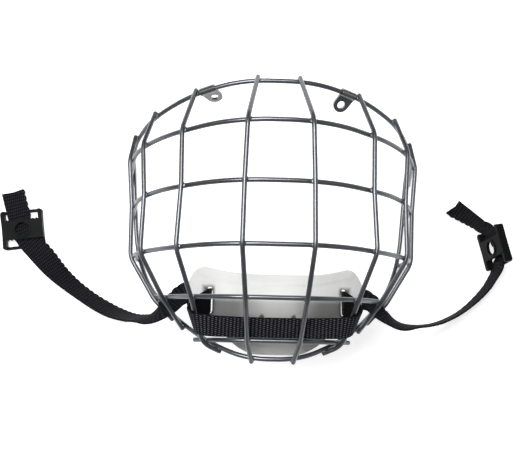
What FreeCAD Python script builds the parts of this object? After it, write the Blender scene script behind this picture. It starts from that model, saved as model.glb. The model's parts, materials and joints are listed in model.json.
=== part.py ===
import FreeCAD, Part
import os
from math import acos, cos, pi, radians, sin, tan

# Wire face guard with a chin cup and a snap strap, lying on its back.
# +Z points out through the front of the guard, +Y towards the forehead and
# X across the face.  The origin is on the surface that the guard lies on,
# below the middle of the wire cage.  All sizes are in millimetres.

V = FreeCAD.Vector
os.makedirs("parts", exist_ok=True)

# ---- wire ----------------------------------------------------------------
wire_d = 2.8              # every wire of the cage
weld_sink = 0.3           # how deep a welded crossing is pressed together
stack = wire_d - weld_sink  # centre to centre of two welded wires
bar_bend_radius = 16.0    # bends of the upright bars
bend_share = 0.48         # share of a run that each bend of a row or rim takes
bar_overhang = 1.9        # tip of an upright bar past the rim's centre line
row_overhang = 0.9        # tip of a cross row past the rim's centre line
tip_fillet = 0.8

# ---- rim: right half of the closed loop, forehead to chin ----------------
rear_z = wire_d / 2       # the rim's rear runs lie on the surface below
RIM = ((24.0, 90.8, 91.5), (58.0, 82.2, 79.5), (86.0, 69.5, 55.0), (100.0, 55.0, 27.0),
       (102.2, 41.0, rear_z), (97.8, -19.0, rear_z), (87.5, -45.0, 16.0),
       (66.0, -66.3, 47.0), (44.0, -80.3, 69.5), (18.0, -90.8, 83.5))

# ---- cross rows: right half of each, from the middle out -----------------
# bends, then the height on the face at which the row meets the rim
ROWS = {
    "brow_bar": dict(bends=((30.0, 59.2, 124.0), (74.7, 52.2, 90.0), (95.5, 46.0, 60.0)),
                     end_y=35.5),
    "eye_bar": dict(bends=((31.5, 21.1, 127.0), (74.8, 16.8, 95.4), (92.5, 12.8, 66.0)),
                    end_y=6.0),
    "nose_bar": dict(bends=((35.0, -18.2, 129.0), (74.0, -21.4, 100.0), (94.0, -23.6, 64.0)),
                     end_y=-25.0),
    "mouth_bar": dict(bends=((33.0, -50.6, 116.0), (63.5, -51.4, 88.0), (76.0, -52.6, 55.0)),
                      end_y=-50.8),
    "chin_bar": dict(bends=((27.0, -78.5, 92.5),), end=(51.5, -79.8, 71.3)),
}
ROW_ORDER = ("brow_bar", "eye_bar", "nose_bar", "mouth_bar", "chin_bar")

# ---- upright bars --------------------------------------------------------
# where each one crosses the rim at the top, the rows, and the rim below;
# the outer pair crosses the rows on the cage's side, so it is set by depth
BARS = {
    "centre_bar": dict(by="x", top=13.8, rows=(19.7, 21.1, 21.7, 18.9, 16.6), low=13.3),
    "cheek_bar": dict(by="x", top=53.4, rows=(60.0, 59.6, 61.2, 51.5, 43.8), low=34.2),
    "side_bar": dict(by="x", top=81.0, rows=(86.6, 84.5, 85.3, 70.8), low=58.8),
    "outer_bar": dict(by="z", top=35.0, rows=(41.6, 44.0, 43.6, 44.5), low=45.5),
}

# ---- helmet clips --------------------------------------------------------
clip_length = 10.5        # rolled barrel round the rim
clip_sheet = 1.0
barrel_clearance = 0.35   # wire to barrel
clip_gap = 0.1            # barrel to the cheek bar beside it
eyelet_r = 2.6            # clears an M5 helmet screw
eyelet_rim = 2.65         # width of the ring round the eyelet
eyelet_reach = 8.0        # rim wire to the eyelet's centre
eyelet_inset = -4.0       # eyelet's centre past the barrel's inner end
clip_tilts = (65.0, 33.0)  # left, right: how far each clip hangs down

# ---- webbing and cup -----------------------------------------------------
web_w = 16.0
web_t = 1.4
cup_shift = 3.0           # the cup hangs this far to the right
cup_wall = 3.0
slot_x = 45.0             # slots from the middle of the cup
slot_y = -53.5
slot_play = 1.0           # slot longer than the webbing, at each end
slot_w = 4.0
vent_r = 1.6
vent_x = 10.4
vent_y = -63.8
lip_height = 0.9          # raised band along the cup's upper edge
lip_width = 6.5

# ---- buckles -------------------------------------------------------------
buckle_w = 30.8           # across the webbing
buckle_rail = 3.25        # side rails
buckle_bar = 2.3          # outer cross bars
buckle_slot = 4.8
buckle_plate = 14.2       # middle plate along the webbing
buckle_gap = 0.4          # webbing to the bars below and the plate above
bar_t = 1.7
plate_t = 1.8
stud_hole_r = 5.0
stud_rim_w = 1.35
stud_rim_h = 0.6
tooth_depth = 0.8
tooth_pitch = 2.4
buckle_waist = 0.5        # how far each side curves in
buckle_corner = 2.2


# centre of the webbing's back in each buckle, its run and the way the plate faces
BUCKLES = {
    "left_buckle": dict(centre=(-182.0, -5.2, 2.2), along=(-0.13, 0.99, 0.0), face=(0, 0, 1)),
    "right_buckle": dict(centre=(165.6, -10.7, 18.4), along=(-0.22, 0.957, -0.19),
                         face=(-0.958, -0.168, 0.232)),
}
buckle_length = buckle_plate + 2 * (buckle_slot + buckle_bar)


# ---- paths and tubes -----------------------------------------------------
def rounded_wire(points, share=None, radius=None, closed=False):
    """Straight runs joined by tangent arcs; returns the wire and its bend radii."""
    count = len(points)
    turns = range(count) if closed else range(1, count - 1)
    arcs = {}
    radii = []
    for i in turns:
        here = points[i]
        back = points[i - 1] - here
        ahead = points[(i + 1) % count] - here
        half_turn = (pi - back.getAngle(ahead)) / 2
        shorter = min(back.Length, ahead.Length)
        reach = share * shorter if share else min(radius * tan(half_turn), bend_share * shorter)
        bend = reach / tan(half_turn)
        radii.append(bend)
        back.normalize()
        ahead.normalize()
        inward = back + ahead
        inward.normalize()
        start = here + back * reach
        finish = here + ahead * reach
        middle = here + inward * (bend / cos(half_turn) - bend)
        arcs[i] = (start, middle, finish)
    edges = []
    for i in range(count if closed else count - 1):
        j = (i + 1) % count
        start = arcs[i][2] if i in arcs else points[i]
        finish = arcs[j][0] if j in arcs else points[j]
        if (finish - start).Length > 1e-4:
            edges.append(Part.LineSegment(start, finish).toShape())
        if j in arcs:
            edges.append(Part.Arc(*arcs[j]).toShape())
    return Part.Wire(Part.__sortEdges__(edges)), radii


def tube(path):
    """Round wire along a path, as one solid."""
    first = path.OrderedEdges[0]
    start = first.valueAt(first.FirstParameter)
    ring = Part.makeCircle(wire_d / 2, start, first.tangentAt(first.FirstParameter))
    return path.makePipeShell([Part.Wire(ring)], True, False)


def cut_wire(path):
    """Tube with its two cut ends eased."""
    solid = tube(path)
    ends = [e for e in solid.Edges if len(solid.ancestorsOfType(e, Part.Face)) > 1
            and any(f.Surface.TypeId == "Part::GeomPlane" for f in solid.ancestorsOfType(e, Part.Face))]
    return solid.makeFillet(tip_fillet, ends)


def mirrored(thing):
    if isinstance(thing, V):
        return V(-thing.x, thing.y, thing.z)
    return thing.mirror(V(0, 0, 0), V(1, 0, 0))


def both_halves(right):
    return [mirrored(p) for p in reversed(right)] + right


def save(shape, name):
    shape.exportStep("parts/" + name + ".step")
    print("%-18s volume %8.1f  valid %s" % (name, shape.Volume, shape.isValid()))


# ---- cage ----------------------------------------------------------------
cage_middle = V(0, 0, 45)


def crossing(samples, axis, value, keep):
    """Point and direction of a sampled line where one coordinate has a value."""
    for a, b in zip(samples, samples[1:]):
        low = getattr(a, axis) - value
        high = getattr(b, axis) - value
        if keep(a) and low * high <= 0 and low != high:
            heading = b - a
            heading.normalize()
            return a + (b - a) * (low / (low - high)), heading
    raise ValueError("no crossing at %s = %s" % (axis, value))


def seat(point, heading, run):
    """Centre of a wire that runs one way, welded outside a wire that heads another."""
    outward = heading.cross(run)
    outward.normalize()
    if outward.dot(point - cage_middle) < 0:
        outward = outward * -1
    return point + outward * stack


def extended(points, first, last):
    """Path with its two ends moved on by an overhang."""
    head = points[0] - points[1]
    head.normalize()
    tail = points[-1] - points[-2]
    tail.normalize()
    return [points[0] + head * first] + points[1:-1] + [points[-1] + tail * last]


def rim_path():
    right = [V(*p) for p in RIM]
    return rounded_wire(both_halves(right), share=bend_share, closed=True)[0]


def row_path(row, rim_samples):
    """Centre line of a cross row; its ends are welded outside the rim."""
    right = [V(*p) for p in row["bends"]]
    if "end" in row:
        right.append(V(*row["end"]))
        return rounded_wire(both_halves(right), share=bend_share)[0]
    point, heading = crossing(rim_samples, "y", row["end_y"], lambda p: p.x > 0)
    right.append(seat(point, heading, point - right[-1]))
    half = both_halves(right)
    return rounded_wire(extended(half, row_overhang, row_overhang), share=bend_share)[0]


def bar_seats(bar, rows, rim_samples):
    """Where an upright bar on the right side lies on the rim and on each row."""
    axis = bar["by"]
    hits = [crossing(rim_samples, axis, bar["top"], lambda p: p.x > 0 and p.y > 0)]
    for name, value in zip(ROW_ORDER, bar["rows"]):
        hits.append(crossing(rows[name], axis, value, lambda p: p.x > 0))
    hits.append(crossing(rim_samples, axis, bar["low"], lambda p: p.x > 0 and p.y < 0))
    seats = []
    for i, (point, heading) in enumerate(hits):
        before = hits[max(i - 1, 0)][0]
        after = hits[min(i + 1, len(hits) - 1)][0]
        seats.append(seat(point, heading, after - before))
    return seats


def lift_bends(seats):
    """Move each inner point out so that the bend, not its corner, lies on the seat."""
    lifted = [seats[0]]
    for before, here, after in zip(seats, seats[1:], seats[2:]):
        back = before - here
        ahead = after - here
        half_turn = (pi - back.getAngle(ahead)) / 2
        shorter = min(back.Length, ahead.Length)
        bend = min(bar_bend_radius, bend_share * shorter / tan(half_turn))
        back.normalize()
        ahead.normalize()
        outward = (back + ahead) * -1
        outward.normalize()
        lifted.append(here + outward * (bend / cos(half_turn) - bend))
    return lifted + [seats[-1]]


def upright_bar(bar, rows, rim_samples):
    points = lift_bends(bar_seats(bar, rows, rim_samples))
    points = extended(points, bar_overhang, bar_overhang)
    return cut_wire(rounded_wire(points, radius=bar_bend_radius)[0])


# ---- helmet clip ---------------------------------------------------------
def tangent_point(point, centre, radius, side):
    """Where a line from a point touches a circle, in the clip's own plane."""
    gap = centre - point
    swing = acos(radius / gap.Length)
    spoke = (point - centre) * (radius / gap.Length)
    turn = FreeCAD.Rotation(V(0, 0, 1), side * swing * 180 / pi)
    return centre + turn.multVec(spoke)


def helmet_clip(side, tilt, rim_samples):
    """Sheet rolled round the rim, with a tab that narrows to a ring."""
    outer_x = BARS["cheek_bar"]["top"] - wire_d / 2 - clip_gap
    middle, heading = crossing(rim_samples, "x", outer_x - clip_length / 2,
                               lambda p: p.x > 0 and p.y > 0)
    if heading.x < 0:
        heading = heading * -1
    bore_r = wire_d / 2 + barrel_clearance
    barrel_r = bore_r + clip_sheet
    ring_r = eyelet_r + eyelet_rim
    half = clip_length / 2
    ring = V(-half - eyelet_inset, eyelet_reach, 0)
    outer_end = V(half, barrel_r, 0)
    inner_end = V(-half, 0, 0)
    outline = Part.makePolygon([V(half, 0, 0), outer_end, tangent_point(outer_end, ring, ring_r, 1),
                                ring, tangent_point(inner_end, ring, ring_r, -1), inner_end,
                                V(half, 0, 0)])
    tab = Part.Face(outline).extrude(V(0, 0, 2 * clip_sheet))
    tab.translate(V(0, 0, -clip_sheet))
    disc = Part.makeCylinder(ring_r, 2 * clip_sheet, ring - V(0, 0, clip_sheet))
    barrel = Part.makeCylinder(barrel_r, clip_length, inner_end, V(1, 0, 0))
    solid = barrel.fuse([tab, disc]).removeSplitter()
    eyelet = Part.makeCylinder(eyelet_r, 4 * clip_sheet, ring - V(0, 0, 2 * clip_sheet))
    bore = Part.makeCylinder(bore_r, 4 * clip_length, inner_end * 3, V(1, 0, 0))
    solid = solid.cut(eyelet).cut(bore)
    down = V(0, -cos(radians(tilt)), -sin(radians(tilt)))
    turn = FreeCAD.Rotation(heading, down, heading.cross(down), "XYZ")
    solid.Placement = FreeCAD.Placement(middle, turn)
    centre = middle + turn.multVec(ring)
    normal = turn.multVec(V(0, 0, 1))
    if side < 0:
        solid = mirrored(solid)
        middle, heading, centre, normal = [mirrored(p) for p in (middle, heading, centre, normal)]
    report = [tuple(round(c, 4) for c in p) for p in (middle, heading, centre, normal)]
    print("clip", side, "middle, axis, eyelet, eyelet axis:", report)
    return solid


# ---- chin cup ------------------------------------------------------------
CUP_OUTLINE = ((26.0, -35.6), (53.5, -29.6), (61.0, -42.0), (58.5, -61.0), (48.0, -68.5),
               (39.0, -71.0), (29.0, -82.5), (17.0, -89.5))
cup_front_z = 87.0        # middle of the cup's front
cup_rows_y = (-25.0, -48.3, -71.7, -95.0)
cup_rows_z = (-14.0, -1.0, 16.0, -31.0)
cup_half = 66.0
cup_curve = 0.0085        # how the front falls away to the sides, per mm


def cup_front(rise):
    """Front face of the cup: a parabola across, a curved profile from lip to chin."""
    drop = cup_curve * cup_half ** 2
    surface = Part.BezierSurface()
    surface.increase(2, 3)
    for i, (x, fall) in enumerate(((-cup_half, -drop), (0.0, drop), (cup_half, -drop))):
        for j, (y, z) in enumerate(zip(cup_rows_y, cup_rows_z)):
            surface.setPole(i + 1, j + 1, V(x + cup_shift, y, cup_front_z + fall + z + rise))
    return surface.toShape()


def prism(points, share, low, high):
    wire = rounded_wire([V(x, y, low) for x, y in points], share=share, closed=True)[0]
    return Part.Face(wire).extrude(V(0, 0, high - low))


def cup_outline(points):
    right = [(cup_shift + x, y) for x, y in points]
    left = [(cup_shift - x, y) for x, y in reversed(points)]
    return right + left


def slot(x):
    """A slot for the webbing, rounded at both ends."""
    reach = web_w / 2 + slot_play - slot_w / 2
    corners = [(x - slot_w / 2, slot_y - reach), (x + slot_w / 2, slot_y - reach),
               (x + slot_w / 2, slot_y + reach), (x - slot_w / 2, slot_y + reach)]
    box = Part.Face(Part.makePolygon([V(cx, cy, 0) for cx, cy in corners + corners[:1]]))
    shape = box.extrude(V(0, 0, 130))
    for end in (-reach, reach):
        shape = shape.fuse(Part.makeCylinder(slot_w / 2, 130, V(x, slot_y + end, 0)))
    return shape


def chin_cup():
    body = prism(cup_outline(CUP_OUTLINE), 0.45, 20, 130)
    shell = cup_front(0).extrude(V(0, 0, -cup_wall)).common(body)
    upper = [(x, y) for x, y in CUP_OUTLINE[:2]]
    lower = [(x, y - lip_width) for x, y in reversed(upper)]
    band = prism(cup_outline(upper + lower), 0.3, 20, 130)
    lip = cup_front(lip_height).extrude(V(0, 0, -cup_wall)).common(band).common(body)
    cup = shell.fuse(lip)
    for side in (-1, 1):
        cup = cup.cut(slot(cup_shift + side * slot_x))
        cup = cup.cut(Part.makeCylinder(vent_r, 130, V(cup_shift + side * vent_x, vent_y, 0)))
    return cup.removeSplitter()


# ---- webbing -------------------------------------------------------------
def station_shape(point, heading, across):
    across = across - heading * across.dot(heading)
    across.normalize()
    up = heading.cross(across)
    corners = []
    for a, b in ((-1, -1), (1, -1), (1, 1), (-1, 1)):
        corners.append(point + across * (a * web_w / 2) + up * (b * web_t / 2))
    return Part.makePolygon(corners + corners[:1])


def band(name, points, widths, step):
    """Webbing along a route; widths gives its crosswise direction at each point."""
    path, radii = rounded_wire(points, share=0.45)
    count = max(12, int(path.Length / step))
    samples = path.discretize(Number=count)
    marks = []
    for point in points:
        nearest = min(range(count), key=lambda i: (samples[i] - point).Length)
        marks.append(nearest)
    marks[0] = 0
    marks[-1] = count - 1
    sections = []
    leg = 0
    for i, sample in enumerate(samples):
        while i > marks[leg + 1]:
            leg += 1
        share = (i - marks[leg]) / (marks[leg + 1] - marks[leg])
        across = widths[leg] * (1 - share) + widths[leg + 1] * share
        heading = samples[min(i + 1, count - 1)] - samples[max(i - 1, 0)]
        heading.normalize()
        sections.append(station_shape(sample, heading, across))
    solid = Part.makeLoft(sections, True, True)
    print(name, "length %.1f" % path.Length, "volume / section x length %.4f"
          % (solid.Volume / (web_w * web_t * path.Length)),
          "smallest bend radius %.1f" % min(radii), [round(r, 1) for r in radii])
    return solid


def front_webbing():
    """From slot to slot: out round both cheek bars and behind the centre bars."""
    right = [V(x + shift, y, z) for x, y, z, shift in FRONT_ROUTE]
    left = [V(shift - x, y, z) for x, y, z, shift in reversed(FRONT_ROUTE)]
    half = [V(sin(radians(splay)), cos(radians(tilt)), sin(radians(tilt)))
            for tilt, splay in FRONT_LEANS]
    return band("front_webbing", left + right, [mirrored(w) for w in reversed(half)] + half, 3.0)


# x, y, z of the webbing in front of the chin, and how much of the cup's shift it takes
FRONT_ROUTE = ((24.0, -70.0, 96.4, 0.0), (48.5, -69.3, 97.0, 0.0), (55.0, -66.0, 86.5, 0.6),
               (52.5, -60.5, 79.5, 1.8), (45.0, -53.5, 76.0, cup_shift),
               (45.0, -53.5, 66.5, cup_shift))
# how far the upper edge tips forward, and how far it splays outwards, in degrees
FRONT_LEANS = ((36.0, 0.0), (28.0, 14.0), (20.0, 20.0), (12.0, 14.0), (2.0, 0.0), (0.0, 0.0))

# route of each strap from its slot to its free end: x, y, z and how far the strap leans
# out from upright, or along, across and above the bars of its buckle
LEFT_ROUTE = ((cup_shift - slot_x, slot_y, 66.5, 90), (cup_shift - slot_x, slot_y, 57.5, 90),
              (-48.8, -53.5, 50.6, 84), (-57.0, -51.2, 48.2, 74), (-63.5, -53.4, 51.0, 54),
              (-68.5, -58.0, 53.2, 41), (-73.8, -62.0, 55.8, 36), (-79.8, -65.2, 52.5, 25),
              (-88.0, -67.8, 43.5, 0), (-100.0, -67.4, 29.5, 0), (-117.0, -61.8, 16.0, 22),
              (-138.0, -50.0, 9.0, 28), (-155.0, -37.4, 6.6, 50), (-21.0, -12.3, 0.0),
              (-5.5, -0.4, 0.0), (11.0, 2.7, 0.0), (28.3, 5.2, 0.0))
RIGHT_ROUTE = ((cup_shift + slot_x, slot_y, 66.5, 90), (cup_shift + slot_x, slot_y, 57.5, 90),
               (54.8, -53.5, 50.6, 84), (62.8, -51.2, 48.2, 74), (69.2, -53.8, 50.8, 46),
               (74.0, -60.2, 54.2, 27), (80.2, -63.8, 56.4, 30), (87.8, -67.4, 52.5, 20),
               (98.0, -69.8, 43.0, 5), (111.8, -69.6, 31.0, 0), (126.5, -66.2, 20.5, 0),
               (144.5, -57.8, 12.0, 0), (159.5, -43.0, 13.5, 6), (-20.4, 6.6, 3.4),
               (-13.4, 1.2, 0.0), (0.0, 0.2, 0.0), (10.5, -0.6, 0.0), (16.0, 3.2, 2.4),
               (149.6, 10.0, 13.0, 24), (136.6, 18.6, 10.4, 40))


def strap_route(route, buckle, side):
    """Points and crosswise directions of a strap that is threaded through its buckle."""
    centre = V(*buckle["centre"])
    along = V(*buckle["along"])
    face = V(*buckle["face"])
    along.normalize()
    face.normalize()
    across = face.cross(along)
    points = []
    for stop in route:
        if len(stop) == 3:
            lift = web_t / 2 + stop[2]
            points.append(centre + along * stop[0] + across * stop[1] + face * lift)
        else:
            points.append(V(*stop[:3]))
    widths = []
    for i, stop in enumerate(route):
        if len(stop) == 3:
            widths.append(across if across.dot(widths[-1]) > 0 else across * -1)
            continue
        run = points[min(i + 2, len(points) - 1)] - points[max(i - 1, 0)]
        outward = run.cross(V(0, 0, 1)) * side
        outward.normalize()
        lean = radians(stop[3])
        widths.append(V(0, 0, cos(lean)) + outward * sin(lean))
    print([tuple(round(c, 2) for c in p) for p in points])
    return points, widths

# ---- snap buckle ---------------------------------------------------------
def buckle_outline(low, high):
    """Plan of the buckle: straight along the webbing's ends, waisted at the sides."""
    u = buckle_length / 2
    v = buckle_w / 2
    edges = []
    for side in (-1, 1):
        edges.append(Part.LineSegment(V(side * u, -v, low), V(side * u, v, low)).toShape())
        waist = V(0, side * (v - buckle_waist), low)
        edges.append(Part.Arc(V(-u, side * v, low), waist, V(u, side * v, low)).toShape())
    solid = Part.Face(Part.Wire(Part.__sortEdges__(edges))).extrude(V(0, 0, high - low))
    upright = [e for e in solid.Edges if abs(e.tangentAt(e.FirstParameter).z) > 0.99]
    return solid.makeFillet(buckle_corner, upright)


def channel(u_low, u_high, z_low, z_high):
    v = buckle_w / 2 - buckle_rail
    return Part.makeBox(u_high - u_low, 2 * v, z_high - z_low, V(u_low, -v, z_low))


def plate_teeth(side):
    """Row of small teeth along one edge of the middle plate."""
    edge = side * buckle_plate / 2
    count = int((buckle_w - 2 * buckle_rail) / tooth_pitch)
    teeth = []
    for i in range(count):
        v = (i - (count - 1) / 2) * tooth_pitch
        base = side * 0.2
        corners = [V(edge - base, v - tooth_pitch / 3, web_t + buckle_gap),
                   V(edge - base, v + tooth_pitch / 3, web_t + buckle_gap),
                   V(edge + side * tooth_depth, v, web_t + buckle_gap)]
        face = Part.Face(Part.makePolygon(corners + corners[:1]))
        teeth.append(face.extrude(V(0, 0, plate_t)))
    return teeth


def snap_buckle():
    """Flat frame, webbing over its two outer bars and behind its middle plate."""
    floor = -buckle_gap - bar_t
    ceiling = web_t + buckle_gap + plate_t
    plate_u = buckle_plate / 2
    bar_u = plate_u + buckle_slot
    solid = buckle_outline(floor, ceiling)
    solid = solid.cut(channel(-plate_u, plate_u, floor, web_t + buckle_gap))
    for low, high in ((-bar_u, -plate_u), (plate_u, bar_u)):
        solid = solid.cut(channel(low, high, floor, ceiling))
    for low, high in ((-2 * bar_u, -bar_u), (bar_u, 2 * bar_u)):
        solid = solid.cut(channel(low, high, -buckle_gap, ceiling))
    # one corner is low, so that webbing can turn out across it
    solid = solid.cut(Part.makeBox(bar_u, buckle_w / 2, ceiling + buckle_gap,
                                   V(-bar_u - plate_u, -buckle_w / 2, -buckle_gap)))
    solid = solid.fuse(plate_teeth(-1) + plate_teeth(1))
    stud_rim = Part.makeCylinder(stud_hole_r + stud_rim_w, plate_t / 2 + stud_rim_h,
                                 V(0, 0, ceiling - plate_t / 2))
    hole = Part.makeCylinder(stud_hole_r, 3 * plate_t, V(0, 0, web_t))
    return solid.fuse(stud_rim).cut(hole).removeSplitter()


def place_buckle(centre, along, face):
    """Buckle with its webbing along one direction and its plate facing another."""
    along = V(*along)
    face = V(*face)
    solid = snap_buckle()
    turn = FreeCAD.Rotation(along, face.cross(along), face, "ZXY")
    solid.Placement = FreeCAD.Placement(V(*centre), turn)
    print("buckle centre", centre, "along", tuple(turn.multVec(V(1, 0, 0))),
          "face", tuple(turn.multVec(V(0, 0, 1))))
    return solid


rim = rim_path()
save(tube(rim), "rim_wire")
rim_samples = rim.discretize(Number=1500)
row_samples = {}
for name, row in ROWS.items():
    path = row_path(row, rim_samples)
    save(cut_wire(path), name)
    row_samples[name] = path.discretize(Number=600)
for name, bar in BARS.items():
    solid = upright_bar(bar, row_samples, rim_samples)
    save(mirrored(solid), "left_" + name)
    save(solid, "right_" + name)
save(helmet_clip(-1, clip_tilts[0], rim_samples), "left_helmet_clip")
save(helmet_clip(1, clip_tilts[1], rim_samples), "right_helmet_clip")
save(chin_cup(), "chin_cup")
save(front_webbing(), "front_webbing")
for side, hand, route in ((-1, "left", LEFT_ROUTE), (1, "right", RIGHT_ROUTE)):
    buckle = BUCKLES[hand + "_buckle"]
    points, widths = strap_route(route, buckle, side)
    save(band(hand + "_strap", points, widths, 3.0), hand + "_strap")
    save(place_buckle(buckle["centre"], buckle["along"], buckle["face"]), hand + "_buckle")
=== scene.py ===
import json
from math import atan2, cos, floor, pi, radians, sin

import bmesh
import bpy
from bpy.props import FloatProperty, FloatVectorProperty, IntProperty, PointerProperty
from mathutils import Matrix, Vector
from mathutils.bvhtree import BVHTree
from mathutils.geometry import intersect_ray_tri
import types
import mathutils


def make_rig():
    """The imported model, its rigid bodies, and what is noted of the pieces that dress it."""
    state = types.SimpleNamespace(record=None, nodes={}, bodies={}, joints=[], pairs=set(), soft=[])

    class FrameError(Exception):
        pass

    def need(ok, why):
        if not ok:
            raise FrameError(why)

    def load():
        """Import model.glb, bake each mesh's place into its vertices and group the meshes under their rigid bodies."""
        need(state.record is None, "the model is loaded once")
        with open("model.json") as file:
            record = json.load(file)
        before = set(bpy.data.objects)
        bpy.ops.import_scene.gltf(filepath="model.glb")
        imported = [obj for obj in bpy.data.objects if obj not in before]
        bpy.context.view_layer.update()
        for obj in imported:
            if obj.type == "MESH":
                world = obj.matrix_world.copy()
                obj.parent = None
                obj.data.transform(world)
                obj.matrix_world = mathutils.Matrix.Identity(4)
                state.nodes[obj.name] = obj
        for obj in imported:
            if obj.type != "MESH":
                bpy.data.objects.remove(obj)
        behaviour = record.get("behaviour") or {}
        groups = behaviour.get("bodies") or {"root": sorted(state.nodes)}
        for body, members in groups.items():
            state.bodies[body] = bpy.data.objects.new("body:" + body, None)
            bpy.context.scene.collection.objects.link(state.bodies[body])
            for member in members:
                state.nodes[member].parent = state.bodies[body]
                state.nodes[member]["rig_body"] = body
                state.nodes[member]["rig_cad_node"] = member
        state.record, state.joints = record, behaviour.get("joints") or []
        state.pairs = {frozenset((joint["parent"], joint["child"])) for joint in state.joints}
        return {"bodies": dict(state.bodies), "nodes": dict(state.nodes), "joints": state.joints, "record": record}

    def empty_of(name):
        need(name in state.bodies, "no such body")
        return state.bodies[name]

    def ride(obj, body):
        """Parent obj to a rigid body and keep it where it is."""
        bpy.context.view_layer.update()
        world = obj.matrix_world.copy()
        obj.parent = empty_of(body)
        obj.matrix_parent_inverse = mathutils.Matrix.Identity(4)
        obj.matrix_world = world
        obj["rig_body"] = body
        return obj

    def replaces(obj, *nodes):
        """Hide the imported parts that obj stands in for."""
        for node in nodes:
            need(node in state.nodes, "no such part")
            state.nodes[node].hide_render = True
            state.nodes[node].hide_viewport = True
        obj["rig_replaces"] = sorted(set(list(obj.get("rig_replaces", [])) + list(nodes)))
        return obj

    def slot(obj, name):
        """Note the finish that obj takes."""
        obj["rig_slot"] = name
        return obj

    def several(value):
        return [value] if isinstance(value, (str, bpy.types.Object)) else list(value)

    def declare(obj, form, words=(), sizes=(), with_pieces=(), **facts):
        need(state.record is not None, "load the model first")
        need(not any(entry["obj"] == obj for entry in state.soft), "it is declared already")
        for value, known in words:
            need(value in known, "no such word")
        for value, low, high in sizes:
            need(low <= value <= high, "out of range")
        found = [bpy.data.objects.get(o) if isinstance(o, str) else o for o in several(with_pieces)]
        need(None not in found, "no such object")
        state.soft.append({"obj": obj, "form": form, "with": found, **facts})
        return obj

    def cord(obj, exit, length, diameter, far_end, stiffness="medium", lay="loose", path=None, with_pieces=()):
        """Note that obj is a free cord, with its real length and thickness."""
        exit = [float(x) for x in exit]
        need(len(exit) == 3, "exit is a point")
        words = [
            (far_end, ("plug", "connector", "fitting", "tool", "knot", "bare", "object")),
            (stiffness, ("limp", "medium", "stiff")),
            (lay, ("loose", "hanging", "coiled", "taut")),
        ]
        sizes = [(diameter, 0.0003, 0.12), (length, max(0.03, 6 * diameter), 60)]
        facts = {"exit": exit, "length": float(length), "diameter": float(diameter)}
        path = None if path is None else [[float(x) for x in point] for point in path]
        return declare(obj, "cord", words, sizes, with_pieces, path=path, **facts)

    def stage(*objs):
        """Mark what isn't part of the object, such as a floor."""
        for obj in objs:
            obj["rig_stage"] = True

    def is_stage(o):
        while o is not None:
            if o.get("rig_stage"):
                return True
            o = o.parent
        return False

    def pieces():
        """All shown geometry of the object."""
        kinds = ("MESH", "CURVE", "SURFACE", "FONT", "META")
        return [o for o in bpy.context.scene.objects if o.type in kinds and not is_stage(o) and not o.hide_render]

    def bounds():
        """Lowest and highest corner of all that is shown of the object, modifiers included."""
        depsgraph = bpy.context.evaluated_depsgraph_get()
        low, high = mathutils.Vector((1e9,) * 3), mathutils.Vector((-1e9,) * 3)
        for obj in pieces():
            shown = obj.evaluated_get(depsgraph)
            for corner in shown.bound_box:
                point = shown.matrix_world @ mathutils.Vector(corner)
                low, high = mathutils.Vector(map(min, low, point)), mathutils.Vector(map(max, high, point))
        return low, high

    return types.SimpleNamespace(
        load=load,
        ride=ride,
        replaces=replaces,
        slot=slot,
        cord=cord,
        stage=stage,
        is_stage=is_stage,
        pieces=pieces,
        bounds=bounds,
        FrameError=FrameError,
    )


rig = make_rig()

bl_info = {
    "name": "Wire face guard",
    "version": (1, 0, 0),
    "blender": (4, 5, 0),
    "location": "View3D > Sidebar > Face guard",
    "description": "Satin steel face cage with a moulded chin cup and a snap strap",
    "category": "Add Mesh",
}

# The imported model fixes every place. Lengths below are in millimetres, as in the construction,
# unless they are multiplied by MM or belong to the stage; those are in metres.
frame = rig.load()
CAD_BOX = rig.bounds()
SIZE_FILE = "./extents.json"
MM = 0.001

WIRES = [n for n in frame["nodes"] if n.endswith("_bar") or n == "rim_wire"]
CLIPS = ["left_helmet_clip", "right_helmet_clip"]
BUCKLES = ["left_buckle", "right_buckle"]

# ---- welds ----
WIRE_RADIUS = 1.4 * MM
WELD_SPREAD = 6.0       # the hits of one crossing lie this near to each other
SLANT_LIMIT = 0.7       # a bead grows no longer where the sine of half the angle is under this

# ---- webbing ----
HALF_WIDTH = 8.0
HALF_THICKNESS = 0.7
STEPS_PER_RIB = 5       # stations along each crosswise rib
ACROSS = 44             # faces across each side of the webbing
EDGE = 4                # faces round each selvedge
ROUTE_DETAIL = 24       # points read between two stops of a route
CROWN_POWER = 0.7       # lower makes a yarn's crown flatter and fuller
YARN_SLANT = 0.45       # how far a crown leans to the next yarn along its rib
SELVEDGE_CROWN = 0.4    # height of the weave round the selvedge, and how round that is
LOOP_BAND = 0.9         # a selvedge loop starts at this share of the half width
FADED_GLINT = 0.45       # share of the painted glint on a crown left at the ends of the webbing at the chin

CUP_SHIFT = 3.0         # the cup hangs this far to the right of the cage's middle

# The routes of the webbing keep close to the construction's bands. A stop of the front half
# has x, y, z and how far the webbing's middle has shifted with the cup there.
FRONT_ROUTE = ((24.0, -70.0, 96.4, 0.0), (48.5, -69.3, 97.0, 0.0), (55.0, -66.0, 86.5, 0.6),
               (52.5, -60.5, 79.5, 1.8), (44.5, -53.5, 76.0, CUP_SHIFT),
               (44.5, -53.5, 66.5, CUP_SHIFT))
# How far the upper edge tips forward, and how far it splays outwards, in degrees.
FRONT_LEANS = ((36.0, 0.0), (28.0, 14.0), (20.0, 20.0), (12.0, 14.0), (2.0, 0.0), (0.0, 0.0))
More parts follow.
